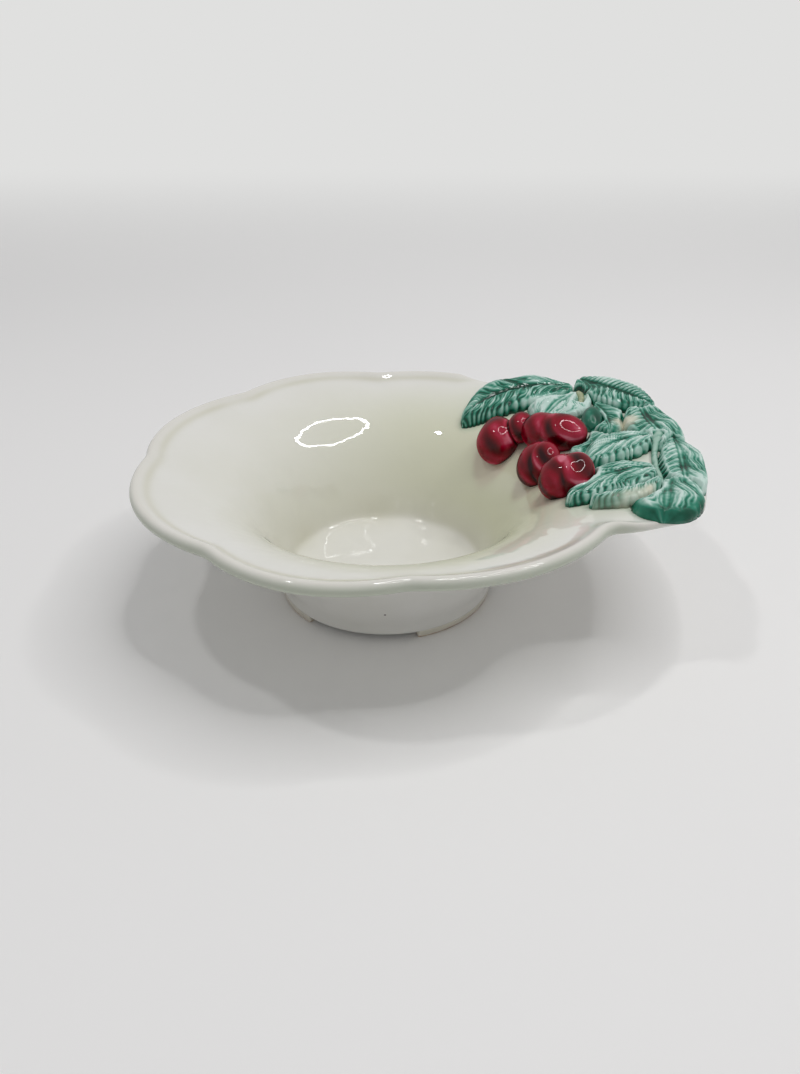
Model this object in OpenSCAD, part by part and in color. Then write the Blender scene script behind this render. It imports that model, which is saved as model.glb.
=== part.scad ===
// Scalloped earthenware bowl with a leaf handle and four cherries.
// The origin is at the centre of the foot, on the table. +X runs towards the handle, +Z is up.

/* [Bowl] */
// Mean radius of the scalloped rim
rim_r = 100; // [85:0.5:120]
// Height of the top of the rim above the table
rim_h = 61.4; // [52:0.1:75]
// Radius of the flat floor inside
floor_r = 41; // [34:0.5:46]
// Height of the floor inside above the table
floor_h = 8.1; // [7:0.1:11]
// Thickness of the wall
wall_t = 4.6; // [3.5:0.1:5.5]
// Radius of the bead that runs round the rim
bead_r = 2.7; // [2:0.1:3.5]
// Depth of each scallop, from its crest to the notch beside it
scallop_depth = 4.6; // [2:0.1:7]

/* [Foot] */
// Height of the foot pads
foot_h = 2.8; // [2:0.1:4]
// Inset of the pads from the edge of the base
foot_inset = 0.4; // [0.2:0.1:3]
// Width of the pads across the foot ring
foot_w = 7; // [4:0.5:10]
// Number of pads
pad_count = 3; // [2:1:4]
// Angle that one pad covers
pad_angle = 60; // [30:1:70]

/* [Leaf handle] */
// Reach of the handle beyond the mean radius of the rim
handle_reach = 25; // [18:0.5:32]
// Rise of the handle between the rim and its outer edge
handle_rise = 2; // [0:0.1:4]
// Thickness of the handle at its outer edge
handle_edge = 2.8; // [2:0.1:4]

/* [Leaves] */
// Thickness of a leaf at its edge
leaf_edge = 2.6; // [1.8:0.1:3.4]
// Thickness of a leaf over the middle of each half
leaf_crest = 5.4; // [4:0.1:6.5]
// Height of the ribs between the veins
vein_h = 0.9; // [0.3:0.1:1.4]
// Depth of the teeth along a leaf's edge
tooth_depth = 1.1; // [0.4:0.1:1.6]
// Thickness of the twigs
twig_d = 3.6; // [2.5:0.1:4.5]
// Slip joint between each applied piece and what it sits on
slip = 0.2; // [0.15:0.05:0.4]
// Gap between neighbouring leaves and fruit
relief_gap = 0.35; // [0.25:0.05:0.8]

/* [Cherries] */
// Radius of a cherry
cherry_r = 9.2; // [7.5:0.1:10]
// Height of a cherry's middle above the clay that it sits on
cherry_lift = 5; // [3.5:0.1:6]

/* [Hidden] */

cream = "#E8E6DC";
leaf_green = "#4E9A80";
crimson = "#8E1038";
twig_brown = "#A9A06B";

// Steps round the bowl and along its wall
around = 104;
wall_steps = 9;
bead_steps = 6;

// Angles of the notches between the scallops, as they lie on the hand-finished rim
notch_angles = [3, 47, 93, 134, 181, 232, 275, 336, 363];
// Depth of the scallop that follows each notch
scallop_shares = [1, 1, 1.3, 1, 1, 1.15, 1, 1];
// Part of a scallop's depth that lies inside the mean radius
inside_share = 0.66;
// Power that rounds the crest of a scallop
crest_power = 0.9;
// Where the handle grows out of the rim and where it is full, in front and behind
handle_front_angles = [-39, -22];
handle_back_angles = [60, 32];
// Where the bead fades into the handle's edge, in front and behind
fade_front_angles = [-36, -29];
fade_back_angles = [70, 62];
// Where the bead leaves the inside surface and meets the underside, round its own section;
// the handle's edge starts on top
bead_start_angle = 170;
edge_start_angle = 90;
bead_end_angle = -80;

handle_r = rim_r + handle_reach;
flange_r = rim_r - 2 * bead_r - slip;
flange_h = rim_h - bead_r;
edge_r = handle_edge / 2;
// The base's edge lies this share of the wall's thickness outside the edge of the floor
base_share = 0.92;
base_r = floor_r + base_share * wall_t;
foot_r = base_r - foot_inset;
// The rim's outline starts to spread out of round at this share of the flange's radius
spread_share = 0.75;
floor_fillet = wall_t;

// Pulls that bend the wall's curve at the floor and at the flange
floor_pull_share = [0.17, 0.55];
flange_pull_share = [0.34, 0.866];

function mix(a, b, t) = a + (b - a) * t;
function smooth(a, b, x) = let (t = min(1, max(0, (x - a) / (b - a)))) t * t * (3 - 2 * t);
function polar(a, r) = [r * cos(a), r * sin(a)];
function between(p, q, share) = [mix(p[0], q[0], share[0]), mix(p[1], q[1], share[1])];

// Inside line of the wall, from the floor out to the bead: one curve with two pulls
wall_start = [floor_r, floor_h];
wall_end = [flange_r, flange_h];
floor_pull = between(wall_start, wall_end, floor_pull_share);
flange_pull = between(wall_start, wall_end, flange_pull_share);
function wall_line(t) =
    pow(1 - t, 3) * wall_start + 3 * pow(1 - t, 2) * t * floor_pull
    + 3 * (1 - t) * t * t * flange_pull + pow(t, 3) * wall_end;
function wall_slope(t) =
    pow(1 - t, 2) * (floor_pull - wall_start) + 2 * (1 - t) * t * (flange_pull - floor_pull)
    + t * t * (wall_end - flange_pull);

// Height of the inside surface over any radius, out to the edge of the handle
ground_line = [
    [0, floor_h],
    [floor_r - floor_fillet, floor_h],
    for (i = [0:wall_steps]) wall_line(i / wall_steps),
    [handle_r, flange_h + handle_rise],
    [2 * handle_r, flange_h + handle_rise],
];
function ground(r) = lookup(r, ground_line);

// Outline of the rim
function turn(a) = a > 180 ? a - 360 : a;
function full_turn(a) = a < notch_angles[0] ? a + 360 : a;
function lobe(a, i = 0) =
    a <= notch_angles[i + 1]
        ? let (f = (a - notch_angles[i]) / (notch_angles[i + 1] - notch_angles[i]))
          scallop_shares[i] * pow(sin(180 * f), crest_power)
        : lobe(a, i + 1);
function span(front, back, a) =
    smooth(front[0], front[1], turn(a)) * (1 - smooth(back[1], back[0], turn(a)));
function rim_at(a) =
    mix(rim_r + scallop_depth * (lobe(full_turn(a)) - inside_share), handle_r,
        span(handle_front_angles, handle_back_angles, a));
function fade_at(a) = span(fade_front_angles, fade_back_angles, a);

// Place on the bowl: an angle, and a reach from the floor's edge (0) to the rim (1)
function place(a, reach) = polar(a, mix(floor_r, rim_at(a), reach));
function reach_r(p) = norm([p[0], p[1]]);
function on_ground(p, lift) = [p[0], p[1], ground(reach_r(p)) + lift];

// Section of the bowl at one angle, as radius and height, from the floor to the underside
function section(a) =
    let (fade = fade_at(a))
    let (bead = mix(bead_r, edge_r, fade))
    let (bead_at = rim_at(a) - bead)
    let (bead_z = mix(flange_h, ground(bead_at) - bead, fade))
    let (from = mix(bead_start_angle, edge_start_angle, fade))
    let (crease = bead_at + bead * cos(from) - slip)
    let (reach = [for (i = [0:wall_steps]) let (r = wall_line(i / wall_steps)[0])
        r + (crease - flange_r) * smooth(spread_share * flange_r, flange_r, r)])
    [
        [floor_r - floor_fillet, floor_h],
        for (i = [0:wall_steps]) [reach[i], ground(reach[i])],
        for (i = [0:bead_steps - 1]) let (b = mix(from, bead_end_angle, i / (bead_steps - 1)))
            [bead_at + bead * cos(b), bead_z + bead * sin(b)],
        for (i = [wall_steps:-1:0])
            let (s = wall_slope(i / wall_steps))
            let (out = [s[1], -s[0]] / norm(s))
            let (taper = fade * smooth(spread_share, 1, wall_line(i / wall_steps)[0] / flange_r))
            [reach[i], ground(reach[i])] + out * mix(wall_t, handle_edge, taper),
        [base_r, foot_h],
    ];

module bowl_body() {
    rings = [for (i = [0:around - 1]) let (a = 360 * i / around)
        [for (p = section(a)) [p[0] * cos(a), p[0] * sin(a), p[1]]]];
    n = len(rings[0]);
    points = [for (ring = rings) each ring, [0, 0, floor_h], [0, 0, foot_h]];
    top = around * n;
    faces = [
        for (i = [0:around - 1]) let (j = (i + 1) % around) each [
            for (k = [0:n - 2]) each [
                [i * n + k, i * n + k + 1, j * n + k + 1],
                [i * n + k, j * n + k + 1, j * n + k],
            ],
            [top, i * n, j * n],
            [top + 1, j * n + n - 1, i * n + n - 1],
        ],
    ];
    color(cream) polyhedron(points, [for (f = faces) [f[2], f[1], f[0]]], convexity = 6);
}

// First angle of the first pad, where its cut end shows in front
pad_start = 287;
module foot_pads() {
    color(cream)
        for (i = [0:pad_count - 1])
            rotate([0, 0, pad_start + 360 * i / pad_count])
                rotate_extrude(angle = pad_angle, $fn = 96)
                    translate([foot_r - foot_w, 0]) square([foot_w, foot_h]);
}

// Leaves, from the lowest to the topmost. Each row holds the angle and reach of the stalk end,
// the angle and reach of the tip, the half width as a share of the length, the bend as a share
// of the length, the teeth on one side, the share of the full crest, the share of the crest
// that the left side is raised by, or the right side where it is negative, and the power that
// sets how full the leaf is towards its ends.
leaf_shares = [
    [12.4, 0.7, 6.5, 0.43, 0.29, 0, 6, 0.6, 0, 0.8],
    [29, 0.78, 11.5, 0.66, 0.3, 0.06, 7, 0.75, 0, 0.8],
    [23.5, 0.975, -0.5, 0.915, 0.215, -0.05, 11, 0.9, 0.1, 0.8],
    [4.5, 0.93, -22, 0.92, 0.175, 0.02, 11, 0.9, 0, 0.8],
    [-14.2, 0.83, -30, 1.01, 0.42, 0, 8, 1, 0, 0.4],
    [-14.6, 0.79, -28.3, 0.6, 0.32, 0, 6, 1, 0, 0.8],
    [6, 0.84, -3.9, 0.47, 0.31, -0.08, 9, 1, 0, 0.8],
    [-10.2, 0.79, -25.7, 0.44, 0.33, -0.1, 9, 1, 0, 0.8],
    [40.5, 0.99, 19.8, 1.01, 0.25, 0, 12, 1, 0.3, 0.6],
    [37, 0.86, 31, 0.47, 0.46, 0, 7, 0.85, 0, 0.8],
    [37.8, 0.87, 58.9, 0.43, 0.235, -0.11, 12, 1, -0.25, 0.8],
];
leaf_across = 8;
// How far the veins lean towards the tip, most at this share of the length
vein_lean_share = 0.2;
lean_from_share = 0.25;
// Width left at both ends, and the power that sets where a leaf is widest
stalk_share = 0.3;
tip_share = 0.1;
widest_power = 0.85;
// Each half rises to a dome that peaks this share of the way in from the edge
dome_power = 0.8;
dome_share = 0.8;
edge_share = 0.02;
// Depth of the groove over the midrib, and the height left at both ends of a leaf
midrib_share = 0.35;
end_share = 0.75;

function leaf_root(l) = place(l[0], l[1]);
function leaf_tip(l) = place(l[2], l[3]);
function leaf_length(l) = norm(leaf_tip(l) - leaf_root(l));
function leaf_width(l, u) =
    let (full = pow(sin(180 * pow(u, widest_power)), l[9]))
    l[4] * leaf_length(l) * mix(mix(stalk_share, tip_share, u), 1, full);

// A point of leaf l at share u of its length and t across it, widened all round by more. The
// notches between the teeth run out towards both ends.
function leaf_plan(l, u, t, tooth, more) =
    let (root = leaf_root(l), along = (leaf_tip(l) - root) / leaf_length(l))
    let (side = [-along[1], along[0]])
    let (s = u + vein_lean_share * abs(t) * (1 - u) * (u + lean_from_share))
    let (w = leaf_width(l, u) - tooth * sin(180 * u) + more)
    root + along * (s * leaf_length(l) + (2 * u - 1) * more)
    + side * (t * w + 4 * l[5] * leaf_length(l) * s * (1 - s));

// Height of a leaf's top there; every other row of points is a rib
function leaf_height(l, u, t, rib) =
    let (groove = abs(t) < 1 / leaf_across ? 1 : 0)
    let (dome = pow(sin(180 * ((1 - abs(t)) * dome_share + edge_share)), dome_power))
    let (crest = dome * (1 - midrib_share * groove) * mix(end_share, 1, sin(180 * u)))
    let (raise = abs(l[8]) * (1 + sign(l[8]) * t) / 2 * sin(180 * pow(u, widest_power)))
    leaf_edge + (leaf_crest * l[7] - leaf_edge) * crest + leaf_crest * raise
    + (rib ? vein_h : 0) * (1 - groove) * sin(180 * u);

// Outline of a leaf in plan, grown by more, with its points closer together at both ends
outline_steps = 9;
function outline_at(i) = (1 - cos(180 * i / outline_steps)) / 2;
function leaf_outline(l, more) = [
    for (i = [0:outline_steps]) leaf_plan(l, outline_at(i), 1, 0, more),
    for (i = [outline_steps:-1:0]) leaf_plan(l, outline_at(i), -1, 0, more),
];

module leaf_blank(l) {
    rings = 2 * l[6];
    n = leaf_across + 1;
    count = (rings + 1) * n;
    plan = [for (i = [0:rings], j = [0:leaf_across])
        leaf_plan(l, i / rings, 2 * j / leaf_across - 1, i % 2 == 0 ? tooth_depth : 0, 0)];
    rise = [for (i = [0:rings], j = [0:leaf_across])
        leaf_height(l, i / rings, 2 * j / leaf_across - 1, i % 2 == 1)];
    top = [for (k = [0:count - 1]) on_ground(plan[k], slip + rise[k])];
    under = [for (p = plan) on_ground(p, slip)];
    border = [
        for (j = [0:leaf_across - 1]) j,
        for (i = [0:rings - 1]) i * n + leaf_across,
        for (j = [leaf_across:-1:1]) rings * n + j,
        for (i = [rings:-1:1]) i * n,
    ];
    faces = [
        for (i = [0:rings - 1], j = [0:leaf_across - 1]) let (k = i * n + j) each [
            [k, k + n, k + n + 1],
            [k, k + n + 1, k + 1],
            [count + k, count + k + n + 1, count + k + n],
            [count + k, count + k + 1, count + k + n + 1],
        ],
        for (b = [0:len(border) - 1]) let (p = border[b], q = border[(b + 1) % len(border)]) each [
            [p, q, count + q],
            [p, count + q, count + p],
        ],
    ];
    polyhedron(concat(top, under), [for (f = faces) [f[2], f[1], f[0]]], convexity = 6);
}

// Cherry lobes, two to a cherry. Each row holds the angle and reach of the lobe's middle, the
// angle and tilt of its long axis, then shares of the cherry's radius and lift: the half
// length, the radius and the lift.
cherry_shares = [
    [[37, 0.255, 75, 40, 1.22, 0.98, 1], [31.2, 0.34, 75, 45, 0.8, 0.66, 1.3]],
    [[24, 0.39, -29, 12, 0.95, 0.86, 1], [16.3, 0.46, -29, 8, 1.05, 0.88, 1]],
    [[8, 0.26, 63, 50, 1.05, 0.8, 1.1], [4.9, 0.3, 63, 50, 0.95, 0.72, 1.15]],
    [[-11.5, 0.345, 60, 38, 1.05, 0.86, 1.2], [-12.2, 0.42, 60, 38, 0.95, 0.78, 1.15]],
];
// The bud beside the cherries: one lobe of the same form
bud_shares = [20.8, 0.655, 80, 20, 0.85, 0.5, 0.45];
lobe_facets = 48;
lobe_steps = 10;
// A lobe is fuller at its stalk end
fullness_share = 0.08;

function lobe_middle(l) = on_ground(place(l[0], l[1]), cherry_lift * l[6]);

// One lobe, grown by more all round
module fruit_lobe(l, more) {
    radius = cherry_r * l[5] + more;
    half = cherry_r * l[4] + more;
    translate(lobe_middle(l)) rotate([0, 90 - l[3], l[2]])
        rotate_extrude($fn = lobe_facets)
            polygon([for (i = [0:lobe_steps]) let (a = 180 * i / lobe_steps)
                [radius * sin(a) * (1 + fullness_share * cos(a)), half * -cos(a)]]);
}

// The bowl's clay under an applied piece, with the slip joint on top of it
module clay_bed() {
    rotate_extrude($fn = 96)
        polygon([
            [0, 0],
            for (g = ground_line) [g[0], g[1] + slip],
            [2 * handle_r, 0],
        ]);
}

module cherry(k) {
    color(crimson)
        difference() {
            union() for (l = cherry_shares[k]) fruit_lobe(l, 0);
            clay_bed();
            for (j = [k + 1:1:len(cherry_shares) - 1])
                if (!apart(lobe_middle(cherry_shares[k][0]), lobe_middle(cherry_shares[j][0]),
                           3 * cherry_r))
                    for (l = cherry_shares[j]) fruit_lobe(l, relief_gap);
        }
}

module leaf_bud() {
    color(leaf_green)
        difference() {
            fruit_lobe(bud_shares, 0);
            clay_bed();
        }
}

// Twigs. Each row holds the angle and reach of the two ends and the bend as a share of the
// length.
twig_shares = [
    [37.2, 0.87, 31.3, 0.73, 0.1],
    [6.6, 0.87, -14.3, 0.81, -0.05],
];
twig_rings = 8;
twig_sides = 8;
// Thickness of a twig at its thin end, and how high its middle line lies in it
twig_taper_share = 0.7;
twig_rise_share = 0.7;

function twig_plan(w, u) =
    let (from = place(w[0], w[1]), to = place(w[2], w[3]), along = to - from)
    from + along * u + [-along[1], along[0]] * 4 * w[4] * u * (1 - u);
function twig_side(w) =
    let (along = place(w[2], w[3]) - place(w[0], w[1])) [-along[1], along[0]] / norm(along);
function twig_r(u) = twig_d / 2 * mix(1, twig_taper_share, u);

module twig(k) {
    w = twig_shares[k];
    side = twig_side(w);
    points = [for (i = [0:twig_rings]) let (u = i / twig_rings, at = twig_plan(w, u))
        for (j = [0:twig_sides - 1])
            let (a = 360 * (j + 0.5) / twig_sides, p = at + side * twig_r(u) * cos(a))
            on_ground(p, slip + twig_r(u) * max(0, twig_rise_share + sin(a)))];
    faces = [
        for (i = [0:twig_rings - 1], j = [0:twig_sides - 1])
            let (k = i * twig_sides + j, m = i * twig_sides + (j + 1) % twig_sides) each [
                [k, k + twig_sides, m + twig_sides],
                [k, m + twig_sides, m],
            ],
        [for (j = [0:twig_sides - 1]) j],
        [for (j = [twig_sides - 1:-1:0]) twig_rings * twig_sides + j],
    ];
    color(twig_brown) polyhedron(points, faces, convexity = 4);
}
function twig_outline(w) = [
    for (u = [0, 0.5, 1]) twig_plan(w, u) + twig_side(w) * (twig_r(0) + relief_gap),
    for (u = [1, 0.5, 0]) twig_plan(w, u) - twig_side(w) * (twig_r(0) + relief_gap),
];

// Outline in plan of a fruit lobe
column_sides = 20;
function lobe_outline(l) =
    let (half = cherry_r * mix(l[5], l[4], cos(l[3])) + relief_gap)
    let (radius = cherry_r * l[5] + relief_gap, at = lobe_middle(l))
    [for (i = [0:column_sides - 1]) let (a = 360 * i / column_sides)
        [at[0] + half * cos(a) * cos(l[2]) - radius * sin(a) * sin(l[2]),
         at[1] + half * cos(a) * sin(l[2]) + radius * sin(a) * cos(l[2])]];

// What lies over a lower piece, in plan: the column that the lower piece is trimmed by
module column(outline) {
    translate([0, 0, floor_h]) linear_extrude(2 * rim_h) polygon(outline);
}

function apart(a, b, reach) = norm(a - b) > reach;
function flat(p) = [p[0], p[1]];
// A leaf lies within this share of its length from its middle
near_share = 0.62;
function leaf_middle_at(l) = (leaf_root(l) + leaf_tip(l)) / 2;
function leaf_reach(l) = near_share * leaf_length(l);
function twig_reach(w) = norm(twig_plan(w, 0) - twig_plan(w, 1)) / 2;

module leaf(k) {
    l = leaf_shares[k];
    middle = leaf_middle_at(l);
    reach = leaf_reach(l);
    color(leaf_green)
        difference() {
            leaf_blank(l);
            for (j = [k + 1:1:len(leaf_shares) - 1])
                if (!apart(middle, leaf_middle_at(leaf_shares[j]), reach + leaf_reach(leaf_shares[j])))
                    column(leaf_outline(leaf_shares[j], relief_gap));
            for (pair = cherry_shares, lobe = pair)
                if (!apart(middle, flat(lobe_middle(lobe)), reach + cherry_r * lobe[4]))
                    column(lobe_outline(lobe));
            if (!apart(middle, flat(lobe_middle(bud_shares)), reach + cherry_r))
                column(lobe_outline(bud_shares));
            for (w = twig_shares)
                if (!apart(middle, twig_plan(w, 0.5), reach + twig_reach(w)))
                    column(twig_outline(w));
        }
}

bowl_body();
foot_pads();
leaf(0);  // leaf_between_cherries
leaf(1);  // leaf_beside_bud
leaf(2);  // leaf_outer_back
leaf(3);  // leaf_outer_front
leaf(4);  // leaf_front_edge
leaf(5);  // leaf_front_small
leaf(6);  // leaf_middle
leaf(7);  // leaf_front_inner
leaf(8);  // leaf_back_rim
leaf(9);  // leaf_over_cherries
leaf(10);  // leaf_back_left
leaf_bud();
twig(0);  // twig_back
twig(1);  // twig_front
cherry(0);  // cherry_back_left
cherry(1);  // cherry_back_right
cherry(2);  // cherry_front_left
cherry(3);  // cherry_front_right
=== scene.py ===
"""A cream-glazed bowl with a scalloped rim, a leaf handle, sprigged leaves and four cherries."""

import math
from collections import namedtuple

import bmesh
import bpy
import numpy as np
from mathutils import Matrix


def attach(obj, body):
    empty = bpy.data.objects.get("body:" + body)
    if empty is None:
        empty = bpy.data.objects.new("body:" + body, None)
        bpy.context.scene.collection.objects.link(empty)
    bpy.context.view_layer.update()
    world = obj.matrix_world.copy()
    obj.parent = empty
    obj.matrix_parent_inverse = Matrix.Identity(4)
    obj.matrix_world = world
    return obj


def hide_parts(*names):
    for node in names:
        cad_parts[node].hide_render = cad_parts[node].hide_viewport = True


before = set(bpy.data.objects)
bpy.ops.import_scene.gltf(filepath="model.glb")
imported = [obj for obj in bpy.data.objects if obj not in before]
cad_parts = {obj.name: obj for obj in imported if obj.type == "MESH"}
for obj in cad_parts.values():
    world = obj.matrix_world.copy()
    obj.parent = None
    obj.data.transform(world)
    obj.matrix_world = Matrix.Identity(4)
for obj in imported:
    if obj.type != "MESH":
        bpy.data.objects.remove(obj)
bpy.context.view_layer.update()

MM = 0.001

# The bowl's own measures, in mm
RIM_R = 100.0
RIM_H = 61.4
FLOOR_R = 41.0
FLOOR_H = 8.1
WALL = 4.6
BEAD_R = 2.7
SCALLOP = 4.6
FOOT_H = 2.8
FOOT_W = 7.0
HANDLE_REACH = 25.0
HANDLE_RISE = 2.0
HANDLE_EDGE = 2.8
LEAF_EDGE = 2.6
LEAF_CREST = 5.4
VEIN_H = 0.9
TOOTH = 1.1
TWIG_D = 3.6
SLIP = 0.2
# How far the glazed outlines stay inside those of the solids
GLAZE = 0.15
CHERRY_R = 9.2
CHERRY_LIFT = 5.0

HANDLE_R = RIM_R + HANDLE_REACH
FLANGE_R = RIM_R - 2 * BEAD_R - SLIP
FLANGE_H = RIM_H - BEAD_R
BASE_R = FLOOR_R + 0.92 * WALL
FOOT_R = BASE_R - 0.4
# Angles of the notches between the scallops, and the share that the scallop after each stands out
NOTCHES = np.array([3, 47, 93, 134, 181, 232, 275, 336, 363.0])
CRESTS = np.array([1, 1, 1.3, 1, 1, 1.15, 1, 1])
SCALLOP_MEAN = 0.66
# Angles between which the outline swings out to the handle, and back, and the same for the bead
# that flattens into the handle's edge
OUT_TO_HANDLE = ((-39, -22), (60, 32))
BEAD_TO_EDGE = ((-36, -29), (70, 62))
# First angle of the first foot pad, how many pads there are and the angle that each covers
PAD_START = 287
PAD_COUNT = 3
PAD_ANGLE = 60
# Width left at a leaf's two ends, as shares of its full width
STALK_SHARE = 0.3
TIP_SHARE = 0.1
# Powers that set where a leaf is widest and how round each half is
WIDEST_POWER = 0.85
DOME_POWER = 0.8
# How far the veins lean towards the tip
VEIN_LEAN = 0.2
LEAN_FROM = 0.25
# How far a piece's skirt reaches into what it sits on
SKIRT = 0.5
TAU = 2 * math.pi


def mix(a, b, t):
    return a + (b - a) * t


def smooth(a, b, x):
    t = np.clip((x - a) / (b - a), 0, 1)
    return t * t * (3 - 2 * t)


# Outline of the rim
def scallop(angle):
    """Height of the scallop at an angle: 0 in a notch and about 1 on a crest."""
    a = np.where(angle < NOTCHES[0], angle + 360, angle)
    i = np.clip(np.searchsorted(NOTCHES, a, side="right") - 1, 0, len(CRESTS) - 1)
    part = (a - NOTCHES[i]) / (NOTCHES[i + 1] - NOTCHES[i])
    return CRESTS[i] * np.clip(np.sin(np.pi * part), 0, 1) ** 0.9


def span(front, back, angle):
    """0 away from the handle and 1 on it, with a smooth change over each pair of angles."""
    a = np.where(angle > 180, angle - 360, angle)
    return smooth(*front, a) * (1 - smooth(back[1], back[0], a))


def rim_at(angle):
    """Radius of the rim and the handle, a weighted mean over 4.4 degrees."""
    total = 0
    for shift, part in ((-2.2, 1), (-1.1, 2), (0, 3), (1.1, 2), (2.2, 1)):
        a = np.mod(angle + shift, 360)
        edge = RIM_R + SCALLOP * (scallop(a) - SCALLOP_MEAN)
        total = total + part / 9 * mix(edge, HANDLE_R, span(*OUT_TO_HANDLE, a))
    return total - GLAZE


def handle_share(angle):
    """How far the rolled bead has flattened into the handle's edge."""
    return span(*BEAD_TO_EDGE, np.mod(angle, 360))


# Wall of the bowl, a curve from the floor to the flange with two pulls
WALL_START = np.array([FLOOR_R, FLOOR_H])
WALL_END = np.array([FLANGE_R, FLANGE_H])
FLOOR_PULL = WALL_START + (WALL_END - WALL_START) * np.array([0.17, 0.55])
FLANGE_PULL = WALL_START + (WALL_END - WALL_START) * np.array([0.34, 0.866])


def wall_line(t):
    t = np.asarray(t, float)[..., None]
    return (
        (1 - t) ** 3 * WALL_START
        + 3 * (1 - t) ** 2 * t * FLOOR_PULL
        + 3 * (1 - t) * t * t * FLANGE_PULL
        + t**3 * WALL_END
    )


def wall_slope(t):
    t = np.asarray(t, float)[..., None]
    return (
        (1 - t) ** 2 * (FLOOR_PULL - WALL_START)
        + 2 * (1 - t) * t * (FLANGE_PULL - FLOOR_PULL)
        + t * t * (WALL_END - FLANGE_PULL)
    )


FINE_WALL = wall_line(np.linspace(0, 1, 80))
GROUND_R = np.concatenate([[0, FLOOR_R - 3], FINE_WALL[2:, 0], [HANDLE_R, 2 * HANDLE_R]])
GROUND_H = np.concatenate(
    [[FLOOR_H, FLOOR_H], FINE_WALL[2:, 1], [FLANGE_H + HANDLE_RISE, FLANGE_H + HANDLE_RISE]]
)


def ground(r):
    """Height of the inside surface over a radius."""
    return np.interp(r, GROUND_R, GROUND_H)


def place(angle, reach):
    """A point in plan from its angle and its reach, 0 at the floor's edge and 1 at the rim."""
    a = math.radians(angle)
    r = mix(FLOOR_R, float(rim_at(np.array(angle))), reach)
    return np.array([r * math.cos(a), r * math.sin(a)])


def ripple(x, y, size, seed):
    """Slow hand-made unevenness between about -1 and 1 over features of that size in mm."""
    rng = np.random.default_rng(seed)
    total = np.zeros(np.broadcast(x, y).shape)
    for _ in range(7):
        turn = rng.uniform(0, TAU)
        wave = TAU / size * rng.uniform(0.6, 1.5)
        along = x * math.cos(turn) + y * math.sin(turn)
        total = total + np.sin(along * wave + rng.uniform(0, TAU))
    return total / 3.2


# Making and finishing a piece
def grid(name, across, along):
    """A flat sheet of quads from 0 to 1 both ways, and the two coordinates of its points."""
    bm = bmesh.new()
    bmesh.ops.create_grid(bm, x_segments=across, y_segments=along, size=0.5)
    mesh = bpy.data.meshes.new(name)
    bm.to_mesh(mesh)
    bm.free()
    flat = np.empty(len(mesh.vertices) * 3)
    mesh.vertices.foreach_get("co", flat)
    flat = flat.reshape(-1, 3) + 0.5
    return mesh, flat[:, 0], flat[:, 1]


def finish_piece(name, mesh, points, values, nodes, material):
    """Moves the sheet's points into place, closes its seams, hangs it under the root body and hides
    the parts it stands for.
    """
    mesh.vertices.foreach_set("co", (np.asarray(points) * MM).ravel())
    for key, value in values.items():
        layer = mesh.attributes.new(key, "FLOAT", "POINT")
        layer.data.foreach_set("value", np.asarray(value, np.float32))
    bm = bmesh.new()
    bm.from_mesh(mesh)
    bmesh.ops.remove_doubles(bm, verts=bm.verts, dist=2e-6)
    bmesh.ops.recalc_face_normals(bm, faces=bm.faces)
    bm.to_mesh(mesh)
    bm.free()
    mesh.shade_smooth()
    mesh.materials.append(material)
    piece = bpy.data.objects.new(name, mesh)
    bpy.context.scene.collection.objects.link(piece)
    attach(piece, "root")
    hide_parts(*nodes)


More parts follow.
